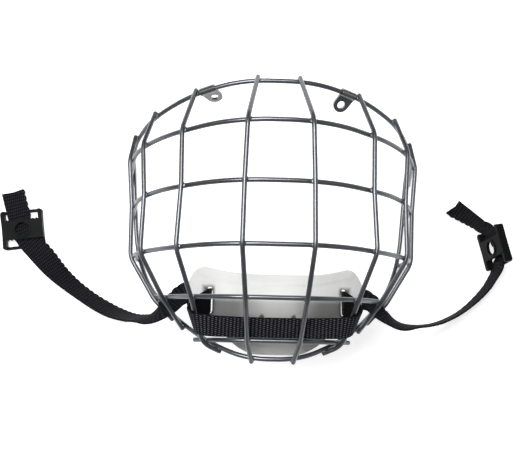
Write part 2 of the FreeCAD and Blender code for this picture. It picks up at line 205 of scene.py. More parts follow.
# A strap's stops: x, y, z and lean from upright in degrees, or along, across and above the
# bars of its buckle, which HELD places.
LEFT_ROUTE = ((-41.5, -53.5, 66.5, 90), (-41.5, -53.5, 57.5, 90), (-48.8, -53.5, 50.6, 84),
              (-57.0, -48.4, 48.2, 66), (-63.5, -52.4, 50.8, 46), (-68.5, -57.6, 53.2, 44),
              (-73.8, -62.0, 56.6, 40), (-79.8, -65.2, 53.6, 27), (-88.0, -67.4, 43.5, 5),
              (-100.0, -67.9, 29.5, 15), (-117.0, -62.8, 16.0, 32), (-138.0, -50.6, 9.0, 33),
              (-155.0, -37.4, 6.6, 50), (-21.0, -12.3, 0.0), (-5.5, -0.4, 0.0),
              (11.0, 2.7, 0.0), (28.3, 5.2, 0.0))
RIGHT_ROUTE = ((47.5, -53.5, 66.5, 90), (47.5, -53.5, 57.5, 90), (54.8, -53.5, 50.6, 84),
               (62.8, -51.2, 48.2, 74), (69.2, -53.8, 51.6, 46), (74.0, -60.2, 55.6, 31),
               (80.2, -63.8, 57.2, 30), (87.8, -67.4, 52.5, 20), (98.0, -68.6, 43.0, 2),
               (111.8, -68.8, 31.0, 0), (126.5, -66.2, 20.5, 0), (144.5, -57.8, 12.0, 0),
               (159.5, -43.0, 13.5, 6), (-20.4, 6.6, 3.4), (-14.5, 1.4, 0.3),
               (-11.0, 0.4, 0.3), (-6.0, -0.2, -4.5), (4.0, -0.4, -4.5), (9.5, -0.6, 0.2),
               (12.8, -0.2, 0.3), (17.0, 3.4, 2.6),
               (149.6, 10.0, 13.0, 24), (136.6, 18.6, 10.4, 40))
# How each buckle lies: its centre, its lengthwise direction and the way that it faces.
HELD = {"left": dict(centre=(-182.0, -5.2, 2.2), along=(-0.13, 0.99, 0.0), face=(0, 0, 1)),
        "right": dict(centre=(165.6, -10.7, 18.4), along=(-0.22, 0.957, -0.19),
                      face=(-0.958, -0.168, 0.232))}

# Which edge of a strap has loops, and the slope and wave of its cut end.
STRAP_ENDS = {"left": (-1, (0.0, -0.3 * MM)), "right": (-1, (-0.36, 0.1 * MM))}

# ---- cup ----
SLOT_MIDDLE = -53.5         # height of the middle of a strap slot
SIDES_FADE = (6.0, 30.0)    # the painted shade below the lip grows between these distances from the middle, and across the lip's end, from above to below it
LIP_FADE = (2.5, -3.5)      # and across the lip's end, from above to below it
SLOT_FADE = -3.0            # the painted shade round a slot starts this far inside the slot's edge, ends between these distances above and below the slot, and between these distances outside its edge
SLOT_ENDS = (7.5, 11.5)     # ends between these distances above and below the slot,
WING_FADE = (4.0, 8.0)      # and between these distances outside its edge
VENT = (10.4, -63.8)        # place of a vent, from the cup's middle
VENT_RIM = 3.0              # the wall's slope is read this far from a vent's middle,
ABOVE_ALL = 200.0           # by looking down from this height
LINER_RADIUS = 2.1
LINER_THICKNESS = 0.8

# ---- buckles and clips ----
# The corner of the right buckle that the webbing doesn't cross: along, across and above.
CORNER_LOW = (-14.2, -15.4, -0.6)
CORNER_HIGH = (-7.3, -12.2, 3.6)
CORNER_RADIUS = 2.2
CORNER_EDGE = 0.3
CORNER_SLACK = 0.1          # an edge this near to the outer corner is part of it
CORNER_SHARP = radians(50)
CLIP_EDGE = 0.42 * MM
CLIP_EDGE_FACES = 4
SHARP = radians(35)         # an edge that turns more than this is rounded

# ---- stage ----
# A lamp has its name, the setting of its power, its size and its place.
LAMPS = (("key lamp", "key", (0.72, 0.42), (-0.22, 0.22, 0.95)),
         ("left lamp", "fill", (0.6, 0.6), (-1.0, 0.1, 0.8)),
         ("right lamp", "fill", (0.6, 0.6), (1.0, 0.1, 0.8)))
LAMP_AIM = (0.0, 0.0, 0.08)
CAMERA_PLACE = (-0.0320, -0.0479, 0.6720)
CAMERA_TURN = (0.0740, -0.0341, 0.0232)
FLOOR_REACH = 4.0


# ---- sizes and colours that a user would change ----------------------------

class SteelSettings(bpy.types.PropertyGroup):
    """Satin steel of the cage and its clips."""
    wire: FloatVectorProperty(name="Wire", description="Colour of the drawn wire",
                              subtype="COLOR", size=3, default=(0.148, 0.153, 0.166))
    sheet: FloatVectorProperty(name="Sheet", description="Colour of the clips' sheet",
                               subtype="COLOR", size=3, default=(0.22, 0.22, 0.225))
    roughness: FloatProperty(name="Roughness", description="Average roughness of the satin finish",
                             default=0.30, min=0.05, max=1.0)
    plating: FloatProperty(name="Plating", description="Coat over the drawn wire",
                           default=0.16 * MM, unit="LENGTH")
    bead_rise: FloatProperty(name="Bead rise", description="Half thickness of a weld bead",
                             default=0.85 * MM, unit="LENGTH")
    bead_reach: FloatProperty(name="Bead reach", description="Weld past the corner of two wires",
                              default=0.45 * MM, unit="LENGTH")


class WebbingSettings(bpy.types.PropertyGroup):
    """Woven nylon webbing."""
    width: FloatProperty(name="Width", description="Width between the selvedges",
                         default=2 * HALF_WIDTH * MM, unit="LENGTH")
    thickness: FloatProperty(name="Thickness", description="Thickness over the ribs",
                             default=2 * HALF_THICKNESS * MM, unit="LENGTH")
    rib: FloatProperty(name="Rib pitch", description="Distance between two crosswise ribs",
                       default=2.35 * MM, unit="LENGTH")
    yarn: FloatProperty(name="Yarn pitch", description="Distance between two lengthwise yarns",
                        default=1.5 * MM, unit="LENGTH")
    relief: FloatProperty(name="Relief", description="Height of a yarn's crown over the weave",
                          default=0.22 * MM, unit="LENGTH")
    picot: FloatProperty(name="Picot pitch", description="Distance between two selvedge loops",
                         default=4.4 * MM, unit="LENGTH")
    picot_height: FloatProperty(name="Picot height", description="How far a loop stands out",
                                default=1.1 * MM, unit="LENGTH")
    # Length over which the painted glint fades at each end of the webbing at the chin.
    glint_fade_length: FloatProperty(name="Glint fade length", default=40.0 * MM, unit="LENGTH",
                             description="Length of fading painted glint at each end of the webbing at the chin")
    picot_start: FloatProperty(name="Picot start", default=14.0 * MM, unit="LENGTH",
                               description="Length without loops where a strap passes its slot")
    colour: FloatVectorProperty(name="Colour", description="Colour of the dyed nylon",
                                subtype="COLOR", size=3, default=(0.0095, 0.0095, 0.012))
    # Painted glint: how much lighter a yarn crown is painted than the dye, at the chin and on the straps.
    painted_glint: FloatProperty(name="Painted glint", description="Brightness of a crown at the chin over the dye",
                         default=20.0)
    strap_speck: FloatProperty(name="Strap painted glint",
                               description="Brightness of a strap's crown over the dye",
                               default=5.0)


class MouldingSettings(bpy.types.PropertyGroup):
    """Moulded plastic of the cup and the buckles."""
    cup: FloatVectorProperty(name="Cup", description="Colour of the milky cup",
                             subtype="COLOR", size=3, default=(0.80, 0.805, 0.79))
    # Painted shade: share of the cup's colour left below the lip, in the middle and at the sides.
    painted_shade_middle: FloatProperty(name="Cup below", default=0.62, min=0.0, max=1.0,
                              description="Share of the colour below the lip, in the middle")
    painted_shade_sides: FloatProperty(name="Cup sides", default=0.26, min=0.0, max=1.0,
                             description="Share of the colour below the lip, at the sides")
    # The liner stands behind the vents; its dark colour is painted shade inside them.
    liner: FloatVectorProperty(name="Liner", description="Colour of the liner behind the vents",
                               subtype="COLOR", size=3, default=(0.15, 0.135, 0.12))
    vent_depth: FloatProperty(name="Vent depth", description="Outer face of the cup to the liner",
                              default=1.5 * MM, unit="LENGTH")
    slot_edge: FloatProperty(name="Slot edge", description="Inner edge of a strap slot",
                             default=43.5 * MM, unit="LENGTH")
    # Painted shade round the strap slots: share of the colour left there.
    slot_painted_shade: FloatProperty(name="Slot shade", default=0.12, min=0.0, max=1.0,
                            description="Share of the colour left in the painted shade round a slot")
    lip_end: FloatProperty(name="Lip end", description="Height at which the padded lip ends",
                           default=-51.5 * MM, unit="LENGTH")
    buckle: FloatVectorProperty(name="Buckle", description="Colour of the black nylon",
                                subtype="COLOR", size=3, default=(0.0060, 0.0064, 0.0066))
    edge: FloatProperty(name="Edge", description="Rounding of the buckles' edges",
                        default=0.3 * MM, unit="LENGTH")
    cup_grain: FloatProperty(name="Cup faces", description="Size of the cup's even faces",
                             default=0.7 * MM, unit="LENGTH")
    cup_softness: IntProperty(name="Cup softness", description="Rounds of smoothing of the cup",
                              default=8, min=0)


class StageSettings(bpy.types.PropertyGroup):
    """Floor, even light, lamps and camera."""
    floor: FloatVectorProperty(name="Floor", description="Colour of the floor",
                               subtype="COLOR", size=3, default=(0.87, 0.87, 0.87))
    glow: FloatProperty(name="Floor glow", description="Light added where the floor is seen",
                        default=0.6)
    key: FloatProperty(name="Key lamp", description="Power of the lamp over the guard",
                       default=9.2, unit="POWER")
    fill: FloatProperty(name="Fill lamp", description="Power of each side lamp",
                        default=0.6, unit="POWER")
    sky: FloatProperty(name="Sky", description="Strength of the even light all round",
                       default=0.3)
    lens: FloatProperty(name="Lens", description="Focal length of the camera",
                        default=63.04, unit="CAMERA")


# ---- materials ---------------------------------------------------------------

def add_node(tree, kind, sockets=None, **settings):
    """New shader node; a socket gets a number, a colour or the output of another node."""
    made = tree.nodes.new(kind)
    for name, value in settings.items():
        setattr(made, name, value)
    for socket, value in (sockets or {}).items():
        if isinstance(value, bpy.types.NodeSocket):
            tree.links.new(value, made.inputs[socket])
        else:
            made.inputs[socket].default_value = value
    return made


def maths(tree, operation, *values):
    """Output of a Math node over numbers and other outputs."""
    return add_node(tree, "ShaderNodeMath", dict(enumerate(values)),
                    operation=operation).outputs[0]


def blended(tree, factor, first, second):
    """First number where the factor is nought, second where it is one."""
    return add_node(tree, "ShaderNodeMix", {0: factor, 2: first, 3: second},
                    data_type="FLOAT").outputs[0]


def multiplied(tree, first, second):
    """Product of two colours, or of a colour and a number."""
    return add_node(tree, "ShaderNodeMix", {0: 1.0, 6: first, 7: second}, data_type="RGBA",
                    blend_type="MULTIPLY").outputs[2]


def fade(tree, value, ends, levels):
    """Value eased from one level to the other between two places."""
    return add_node(tree, "ShaderNodeMapRange",
                    {"Value": value, "From Min": ends[0], "From Max": ends[1],
                     "To Min": levels[0], "To Max": levels[1]},
                    interpolation_type="SMOOTHSTEP").outputs["Result"]


def ramp(tree, factor, stops):
    """Colour ramp through (place, colour) stops."""
    made = add_node(tree, "ShaderNodeValToRGB", {"Fac": factor})
    elements = made.color_ramp.elements
    while len(elements) < len(stops):
        elements.new(1.0)
    for element, (place, colour) in zip(elements, stops):
        element.position = place
        element.color = (*colour, 1.0)
    return made.outputs["Color"]


def shade(colour, factor):
    return tuple(min(1.0, c * factor) for c in colour)


def new_material(name, colour):
    """Empty material with a principled shader, and the object's own coordinates."""
    material = bpy.data.materials.new(name)
    material.use_nodes = True
    material.diffuse_color = (*colour, 1.0)
    tree = material.node_tree
    shader = tree.nodes["Principled BSDF"]
    place = add_node(tree, "ShaderNodeTexCoord").outputs["Object"]
    return material, tree, shader, place


def noise(tree, place, scale, detail=3.0):
    return add_node(tree, "ShaderNodeTexNoise",
                    {"Vector": place, "Scale": scale, "Detail": detail}).outputs["Fac"]


def spread(tree, value, low, high):
    """Value from 0.3 to 0.7 mapped to a range."""
    return add_node(tree, "ShaderNodeMapRange", {"Value": value, "From Min": 0.3, "From Max": 0.7,
                                                 "To Min": low, "To Max": high}).outputs["Result"]


def bump(tree, shader, height, distance, strength):
    made = add_node(tree, "ShaderNodeBump", {"Height": height, "Distance": distance,
                                             "Strength": strength})
    tree.links.new(made.outputs["Normal"], shader.inputs["Normal"])


def steel(name, colour, roughness):
    """Satin metal: faint clouding and a slightly uneven sheen."""
    material, tree, shader, place = new_material(name, colour)
    clouds = noise(tree, place, 60.0)
    tint = ramp(tree, clouds, ((0.32, shade(colour, 0.9)), (0.68, shade(colour, 1.1))))
    tree.links.new(tint, shader.inputs["Base Color"])
    tree.links.new(spread(tree, clouds, roughness - 0.03, roughness + 0.04),
                   shader.inputs["Roughness"])
    shader.inputs["Metallic"].default_value = 1.0
    return material


def woven(name, colour, painted_glint):
    """Dyed nylon: a painted glint on each yarn crown and painted shade in the gaps between them."""
    material, tree, shader, place = new_material(name, colour)
    height = add_node(tree, "ShaderNodeAttribute", attribute_name="weave").outputs["Fac"]
    fibres = noise(tree, place, 2600.0, 2.0)
    # Painted glint on the yarn crowns and painted shade in the gaps between them, from the weave's height.
    lit = ramp(tree, height, ((0.1, shade(colour, 0.5)), (0.45, colour),
                              (0.9, shade(colour, painted_glint))))
    dye = ramp(tree, noise(tree, place, 900.0), ((0.35, (0.55, 0.55, 0.55)),
                                                 (0.65, (1.0, 1.0, 1.0))))
    tree.links.new(multiplied(tree, lit, dye), shader.inputs["Base Color"])
    tree.links.new(spread(tree, fibres, 0.55, 0.75), shader.inputs["Roughness"])
    shader.inputs["Specular IOR Level"].default_value = 0.05
    bump(tree, shader, fibres, 0.05 * MM, 0.5)
    return material


def moulded(name, colour, roughness, texture, gloss, glow=0.0):
    """Moulded plastic: faint flow marks and a fine skin texture."""
    material, tree, shader, place = new_material(name, colour)
    flow = noise(tree, place, 38.0, 4.0)
    skin = noise(tree, place, 1400.0, 2.0)
    tint = ramp(tree, flow, ((0.3, shade(colour, 0.94)), (0.7, shade(colour, 1.04))))
    tree.links.new(tint, shader.inputs["Base Color"])
    tree.links.new(spread(tree, flow, roughness - 0.06, roughness + 0.06),
                   shader.inputs["Roughness"])
    shader.inputs["Specular IOR Level"].default_value = gloss
    if glow:
        shader.inputs["Subsurface Weight"].default_value = glow
        shader.inputs["Subsurface Radius"].default_value = (1.0, 1.0, 0.9)
        shader.inputs["Subsurface Scale"].default_value = 4.0 * MM
    bump(tree, shader, skin, texture, 0.4)
    return material


def paint_cup_shade(tree, settings):
    """Painted shade on the cup below its padded lip, most of all at the sides,
    and darker painted shade round the slots."""
    shader = tree.nodes["Principled BSDF"]
    tint = shader.inputs["Base Color"].links[0].from_socket
    place = add_node(tree, "ShaderNodeTexCoord").outputs["Object"]
    axes = add_node(tree, "ShaderNodeSeparateXYZ", {"Vector": place}).outputs
    aside = maths(tree, "ABSOLUTE", maths(tree, "SUBTRACT", axes["X"], CUP_SHIFT * MM))
    level = maths(tree, "ABSOLUTE", maths(tree, "SUBTRACT", axes["Y"], SLOT_MIDDLE * MM))
    edge = settings.slot_edge
    # Painted shade below the lip, deeper towards the sides.
    painted_side_shade = fade(tree, aside, [d * MM for d in SIDES_FADE],
                (settings.painted_shade_middle, settings.painted_shade_sides))
    below = fade(tree, axes["Y"], [settings.lip_end + d * MM for d in LIP_FADE], (0.0, 1.0))
    wall = blended(tree, below, 1.0, painted_side_shade)
    # Painted shade round each slot, fading past its ends and outside its edge.
    slot = fade(tree, aside, (edge + SLOT_FADE * MM, edge), (1.0, settings.slot_painted_shade))
    past_ends = fade(tree, level, [d * MM for d in SLOT_ENDS], (0.0, 1.0))
    past_edge = fade(tree, aside, [edge + d * MM for d in WING_FADE], (0.0, 1.0))
    clear = maths(tree, "MAXIMUM", past_ends, past_edge)
    slot_shade_factor = blended(tree, clear, slot, 1.0)
    grey = multiplied(tree, tint, maths(tree, "MULTIPLY", wall, slot_shade_factor))
    tree.links.new(grey, shader.inputs["Base Color"])


def dress(obj, material, slot):
    """Give a piece its only material and the record's slot for it."""
    obj.data.materials.clear()
    obj.data.materials.append(material)
    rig.slot(obj, slot)


# ---- making pieces -------------------------------------------------------------

def piece_from(bm, name):
    """Object at the origin from a finished bmesh."""
    mesh = bpy.data.meshes.new(name)
    bm.to_mesh(mesh)
    bm.free()
    made = bpy.data.objects.new(name, mesh)
    bpy.context.scene.collection.objects.link(made)
    return made


def triangles(node):
    """Corners of a node's triangles, in millimetres, which keeps small ones exact."""
    mesh = frame["nodes"][node].data
    mesh.calc_loop_triangles()
    return [tuple(mesh.vertices[v].co / MM for v in t.vertices) for t in mesh.loop_triangles]


def tree_of(corners):
    points = [p for triangle in corners for p in triangle]
    faces = [(i, i + 1, i + 2) for i in range(0, len(points), 3)]
    return BVHTree.FromPolygons(points, faces)


def edge_hits(first, second):
    """Points where the edges of one triangle pass through another."""
    found = []
    for start, end in zip(first, first[1:] + first[:1]):
        hit = intersect_ray_tri(*second, end - start, start, True)
        if hit is not None and (hit - start).length <= (end - start).length:
            found.append(hit)
    return found


def run_of(corners):
    """Direction of a wire from its longest facet edge."""
    edges = [b - a for a, b in zip(corners, corners[1:] + corners[:1])]
    return max(edges, key=lambda e: e.length)


def summed(directions):
    """Unit sum of directions, each turned to agree with the first."""
    total = Vector((0, 0, 0))
    for d in directions:
        total += d if d.dot(directions[0]) >= 0 else -d
    return total.normalized()


def weld_seats(first, second, meshes, trees):
    """Each welded crossing of two wires: its middle, outward normal and the wires' directions."""
    seats = []
    for i, j in trees[first].overlap(trees[second]):
        a, b = meshes[first][i], meshes[second][j]
        found = edge_hits(a, b) + edge_hits(b, a)
        if not found:
            continue
        near = [s for s in seats if (s["hits"][0] - found[0]).length < WELD_SPREAD]
        if not near:
            near = [dict(hits=[], normals=[], first=[], second=[])]
            seats += near
        outward = (a[1] - a[0]).cross(a[2] - a[0]).normalized()
        inward = (b[1] - b[0]).cross(b[2] - b[0]).normalized()
        near[0]["hits"] += found
        near[0]["normals"].append(outward - inward)
        near[0]["first"].append(run_of(a))
        near[0]["second"].append(run_of(b))
    for seat in seats:
        middle = sum(seat["hits"], Vector((0, 0, 0))) * (MM / len(seat["hits"]))
        normal = sum(seat["normals"], Vector((0, 0, 0))).normalized()
        yield middle, normal, summed(seat["first"]), summed(seat["second"])


def weld_bead(bm, seat, settings):
    """Flat bead of weld that fills the four corners of two crossed wires, above the floor."""
    middle, normal, first, second = seat
    along = (first + second).normalized()
    across = normal.cross(along).normalized()
    normal = along.cross(across)
    half_angle = min(first.angle(second), pi - first.angle(second)) / 2
    if first.dot(second) < 0:
        half_angle = pi / 2 - half_angle
    reach = (WIRE_RADIUS / max(SLANT_LIMIT, sin(half_angle)) + settings.bead_reach,
             WIRE_RADIUS / max(SLANT_LIMIT, cos(half_angle)) + settings.bead_reach)
    turn = Matrix((along, across, normal)).transposed().to_4x4()
    size = Matrix.Diagonal((reach[0], reach[1], settings.bead_rise, 1.0))
    made = bmesh.ops.create_icosphere(bm, subdivisions=2, radius=1.0,
                                      matrix=Matrix.Translation(middle) @ turn @ size)
    for v in made["verts"]:
        v.co.z = max(0.0, v.co.z)


# ---- webbing --------------------------------------------------------------------

def spline_points(name, points):
    """Points read from the smooth curve of a route."""
    curve = bpy.data.curves.new(name, "CURVE")
    curve.dimensions = "3D"
    spline = curve.splines.new("NURBS")
    spline.points.add(len(points) - 1)
    for place, point in zip(spline.points, points):
        place.co = (*point, 1.0)
    spline.order_u = 3
    spline.use_endpoint_u = True
    spline.resolution_u = ROUTE_DETAIL
    holder = bpy.data.objects.new(name, curve)
    bpy.context.scene.collection.objects.link(holder)
    mesh = bpy.data.meshes.new_from_object(holder)
    found = [v.co.copy() for v in mesh.vertices]
    bpy.data.objects.remove(holder)
    bpy.data.curves.remove(curve)
    bpy.data.meshes.remove(mesh)
    return found


def stations(name, points, sides, step):
    """Even stations along a route, its length and its middle line.

    Each station has its distance along, its place, its heading and its crosswise direction."""
    middle = spline_points(name, points)
    edge = spline_points(name, [p + s * HALF_WIDTH * MM for p, s in zip(points, sides)])
    reach = [0.0]
    for a, b in zip(middle, middle[1:]):
        reach.append(reach[-1] + (b - a).length)
    count = round(reach[-1] / step)
    made = []
    leg = 0
    for i in range(count + 1):
        at = reach[-1] * i / count
        while leg < len(middle) - 2 and reach[leg + 1] < at:
            leg += 1
        share = (at - reach[leg]) / (reach[leg + 1] - reach[leg])
        place = middle[leg].lerp(middle[leg + 1], share)
        heading = (middle[leg + 1] - middle[leg]).normalized()
        side = edge[leg].lerp(edge[leg + 1], share) - place
        side = (side - heading * side.dot(heading)).normalized()
        made.append((at, place, heading, side))
    return made, reach[-1], middle


def held_axes(hand):
    """Centre of a buckle, and its directions along, across and out of its face."""
    centre, along, face = (Vector(HELD[hand][k]) for k in ("centre", "along", "face"))
    along.normalize()
    face.normalize()
    return centre, along, face.cross(along).normalized(), face


def strap_sides(route, hand):
    """Places of a strap's route and its crosswise direction at each, in metres."""
    outward = -1 if hand == "left" else 1
    centre, along, across, face = held_axes(hand)
    places = [Vector(p[:3]) if len(p) == 4 else
              centre + along * p[0] + across * p[1] + face * (HALF_THICKNESS + p[2])
              for p in route]
    sides = []
    for i, point in enumerate(route):
        if len(point) == 3:
            sides.append(across if across.dot(sides[-1]) > 0 else -across)
            continue
        run = places[min(i + 2, len(route) - 1)] - places[max(i - 1, 0)]
        out = (run.cross(Vector((0, 0, 1))) * outward).normalized()
        lean = radians(point[3])
        sides.append(Vector((0, 0, cos(lean))) + out * sin(lean))
    return [p * MM for p in places], sides


def section():
    """Outline of the webbing: crosswise place from -1 to 1, and side -1, 0 or 1 of the band."""
    made = []
    for side in (1, -1):
        for i in range(ACROSS + 1):
            made.append((side * (2 * i / ACROSS - 1), side))
        made += [(side, side * (1 - 2 * i / EDGE)) for i in range(1, EDGE)]
    return made


def crown_at(along, across, settings):
    """Height of the weave: columns of slanted yarn crowns, staggered from one to the next."""
    column = floor(along / settings.rib)
    part = along / settings.rib - column
    row = across / settings.yarn + 0.5 * (column % 2) + YARN_SLANT * (part - 0.5)
    return sin(pi * part) ** CROWN_POWER * (0.5 + 0.5 * cos(2 * pi * row))


def woven_band(name, line, settings, loops=0, cut=(0.0, 0.0), glint_fade_length=0.0):
    """Closed band of webbing along stations, with yarn crowns; loops stand out on one edge."""
    outline = section()
    count = len(outline)
    bm = bmesh.new()
    bmesh.ops.create_cone(bm, cap_ends=False, segments=count, radius1=1, radius2=1, depth=2)
    lengthwise = [e for e in bm.edges if abs(e.verts[0].co.z - e.verts[1].co.z) > 1]
    bmesh.ops.subdivide_edges(bm, edges=lengthwise, cuts=len(line) - 2, use_grid_fill=True)
    weave = bm.verts.layers.float.new("weave")
    half_w = settings.width / 2
    half_t = settings.thickness / 2
    # A vertex of the cone tells its place round the outline and along the line.
    for v in bm.verts:
        i = round(atan2(v.co.x, v.co.y) / (2 * pi) * count) % count
        j = round((v.co.z + 1) / 2 * (len(line) - 1))
        at, place, heading, side = line[j]
        across, level = outline[i]
        crown = crown_at(at, across * half_w, settings)
        rounding = (1 - level * level) ** 0.5 if abs(level) < 1 else 0.0
        out = across * half_w
        if abs(across) == 1:
            crown = SELVEDGE_CROWN
            out -= across * SELVEDGE_CROWN * half_t * (1 - rounding)
        depth = level * (half_t - settings.relief * (1 - crown))
        if across * loops > LOOP_BAND:
            clear = min(1.0, max(0.0, at / settings.picot_start - 1.0))
            scallop = abs(sin(pi * at / settings.picot)) ** CROWN_POWER * clear
            share = (abs(across) - LOOP_BAND) / (1 - LOOP_BAND)
            out += loops * settings.picot_height * scallop * share
        slip = 0.0
        if j == len(line) - 1:
            slip = cut[0] * across * half_w + cut[1] * cos(3 * across)
        v.co = place + side * out + heading.cross(side) * depth + heading * slip
        # The painted glint fades towards each end of the webbing at the chin.
        if glint_fade_length:
            from_end = min(at, line[-1][0] - at)
            crown *= min(1.0, max(FADED_GLINT, from_end / glint_fade_length))
        v[weave] = crown
    bmesh.ops.holes_fill(bm, edges=[e for e in bm.edges if e.is_boundary], sides=0)
    bmesh.ops.recalc_face_normals(bm, faces=bm.faces)
    band = piece_from(bm, name)
    band.data.shade_smooth()
    return band


# ---- operators --------------------------------------------------------------------

class GUARD_OT_stage(bpy.types.Operator):
    """Pale floor, soft lamps and the camera"""
    bl_idname = "guard.stage"
    bl_label = "Stage"

    def execute(self, context):
        settings = context.scene.guard_stage
        make_floor(settings)
        make_lamps(settings)
        make_camera(settings)
        context.scene.view_settings.view_transform = "Standard"
        return {"FINISHED"}


def make_floor(settings):
    """Pale floor that glows where it is seen, so that it looks white around its shadows."""
    bm = bmesh.new()
    bmesh.ops.create_grid(bm, x_segments=1, y_segments=1, size=FLOOR_REACH)
    ground = piece_from(bm, "floor")
    material = bpy.data.materials.new("pale floor")
    material.use_nodes = True
    tree = material.node_tree
    shader = tree.nodes["Principled BSDF"]
    shader.inputs["Base Color"].default_value = (*settings.floor, 1.0)
    shader.inputs["Roughness"].default_value = 0.9
    shader.inputs["Specular IOR Level"].default_value = 0.1
    path = add_node(tree, "ShaderNodeLightPath").outputs
    seen = maths(tree, "MAXIMUM", path["Is Camera Ray"], path["Is Glossy Ray"])
    seen = maths(tree, "MAXIMUM", seen, path["Is Transmission Ray"])
    shader.inputs["Emission Color"].default_value = (1.0, 1.0, 1.0, 1.0)
    tree.links.new(maths(tree, "MULTIPLY", seen, settings.glow),
                   shader.inputs["Emission Strength"])
    ground.data.materials.append(material)
    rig.stage(ground)


def add_lamp(name, power, size, place):
    data = bpy.data.lights.new(name, "AREA")
    data.energy = power
    data.shape = "RECTANGLE"
    data.size, data.size_y = size
    lamp = bpy.data.objects.new(name, data)
    lamp.location = place
    lamp.rotation_euler = (Vector(LAMP_AIM) - Vector(place)).to_track_quat("-Z", "Y").to_euler()
    bpy.context.scene.collection.objects.link(lamp)


def make_lamps(settings):
    """Even light all round, and an aimed lamp for each row of LAMPS."""
    world = bpy.data.worlds.new("even light")
    world.use_nodes = True
    background = world.node_tree.nodes["Background"]
    background.inputs["Color"].default_value = (1.0, 1.0, 1.0, 1.0)
    background.inputs["Strength"].default_value = settings.sky
    bpy.context.scene.world = world
    for name, power, size, place in LAMPS:
        add_lamp(name, getattr(settings, power), size, place)


def make_camera(settings):
    data = bpy.data.cameras.new("camera")
    data.sensor_width = 36.0
    data.lens = settings.lens
    camera = bpy.data.objects.new("camera", data)
    camera.location = CAMERA_PLACE
    camera.rotation_mode = "ZXY"
    camera.rotation_euler = CAMERA_TURN
    bpy.context.scene.collection.objects.link(camera)
    bpy.context.scene.camera = camera


class GUARD_OT_wires(bpy.types.Operator):
    """Satin finish on the rim and on every bar, and the beads where they are welded"""
    bl_idname = "guard.wires"
    bl_label = "Wires and welds"

    def execute(self, context):
        settings = context.scene.guard_steel
        satin = steel("satin steel", tuple(settings.wire), settings.roughness)
        for name in WIRES:
            wire = frame["nodes"][name]
            dress(wire, satin, "satin_steel")
            wire.data.shade_smooth()
            join_facets(wire)
            coat = wire.modifiers.new("plating", "DISPLACE")
            coat.mid_level = 0.0
            coat.strength = settings.plating
        meshes = {n: triangles(n) for n in WIRES}
        trees = {n: tree_of(meshes[n]) for n in WIRES}
        bm = bmesh.new()
        for first, second in frame["record"]["behaviour"]["press_fits"]:
            if first in trees and second in trees:
                for seat in weld_seats(first, second, meshes, trees):
                    weld_bead(bm, seat, settings)
        beads = piece_from(bm, "weld_beads")
        beads.data.shade_smooth()
        # The beads' steel is painted lighter than the wire: a painted highlight where the welds catch the light.
        weld = steel("weld steel", shade(settings.wire, 1.35), roughness=0.32)
        dress(beads, weld, "satin_steel")
        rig.ride(beads, "cage")
        return {"FINISHED"}


class GUARD_OT_clips(bpy.types.Operator):
    """Rolled sheet finish on the two helmet clips"""
    bl_idname = "guard.clips"
    bl_label = "Helmet clips"

    def execute(self, context):
        settings = context.scene.guard_steel
        sheet = steel("clip steel", tuple(settings.sheet), roughness=0.22)
        for name in CLIPS:
            clip = frame["nodes"][name]
            dress(clip, sheet, "clip_steel")
            soften(clip, CLIP_EDGE, CLIP_EDGE_FACES)
        return {"FINISHED"}


def join_facets(obj):
    """Weld the facets of a construction mesh at their shared corners."""
    weld = obj.modifiers.new("joined", "WELD")
    weld.merge_threshold = 0.005 * MM


def soften(obj, width, segments=2):
    """Join a construction mesh's facets and round its edges."""
    join_facets(obj)
    bevel = obj.modifiers.new("rounded", "BEVEL")
    bevel.width = width
    bevel.segments = segments
    bevel.limit_method = "ANGLE"
    bevel.angle_limit = SHARP
    obj.data.shade_smooth()
    crisp = obj.modifiers.new("even shading", "WEIGHTED_NORMAL")
    crisp.keep_sharp = True


class GUARD_OT_cup(bpy.types.Operator):
    """Milky moulded chin cup with soft edges"""
    bl_idname = "guard.cup"
    bl_label = "Chin cup"

    def execute(self, context):
        settings = context.scene.guard_moulding
        cup = frame["nodes"]["chin_cup"]
        milky = moulded("milky plastic", tuple(settings.cup), roughness=0.42,
                        texture=0.02 * MM, gloss=0.35, glow=0.5)
        # Paint shade into the cup's colour below its lip and round its slots.
        paint_cup_shade(milky.node_tree, settings)
        dress(cup, milky, "white_moulding")
        join_facets(cup)
        even = cup.modifiers.new("even faces", "REMESH")
        even.mode = "VOXEL"
        even.voxel_size = settings.cup_grain
        even.use_smooth_shade = True
        soft = cup.modifiers.new("soft edges", "SMOOTH")
        soft.factor = 0.5
        soft.iterations = settings.cup_softness
        # A liner disc behind each vent, dark as painted shade inside the vent.
        liner = painted_shade_vent_liner("cup_vent_liner", settings)
        dark = moulded("soft liner", tuple(settings.liner), roughness=0.8,
                       texture=0.05 * MM, gloss=0.1)
        dress(liner, dark, "white_moulding")
        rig.ride(liner, "cup")
        return {"FINISHED"}


def painted_shade_vent_liner(name, settings):
    """Soft liner that shows through the cup's two vents, half way down its wall; its dark colour is painted shade
    inside the vents.
    """
    tree = tree_of(triangles("chin_cup"))
    bm = bmesh.new()
    for side in (-1, 1):
        middle = Vector((CUP_SHIFT + side * VENT[0], VENT[1], 0))
        places, normals = [], []
        for aside in ((-VENT_RIM, 0), (VENT_RIM, 0), (0, -VENT_RIM), (0, VENT_RIM)):
            start = middle + Vector((*aside, ABOVE_ALL))
            place, normal, _, _ = tree.ray_cast(start, Vector((0, 0, -1)))
            places.append(place)
            normals.append(normal if normal.z > 0 else -normal)
        normal = sum(normals, Vector((0, 0, 0))).normalized()
        place = sum(places, Vector((0, 0, 0))) / len(places) - normal * settings.vent_depth / MM
        turn = normal.to_track_quat("Z", "Y").to_matrix().to_4x4()
        bmesh.ops.create_cone(bm, cap_ends=True, segments=24, radius1=LINER_RADIUS * MM,
                              radius2=LINER_RADIUS * MM, depth=LINER_THICKNESS * MM,
                              matrix=Matrix.Translation(place * MM) @ turn)
    return piece_from(bm, name)


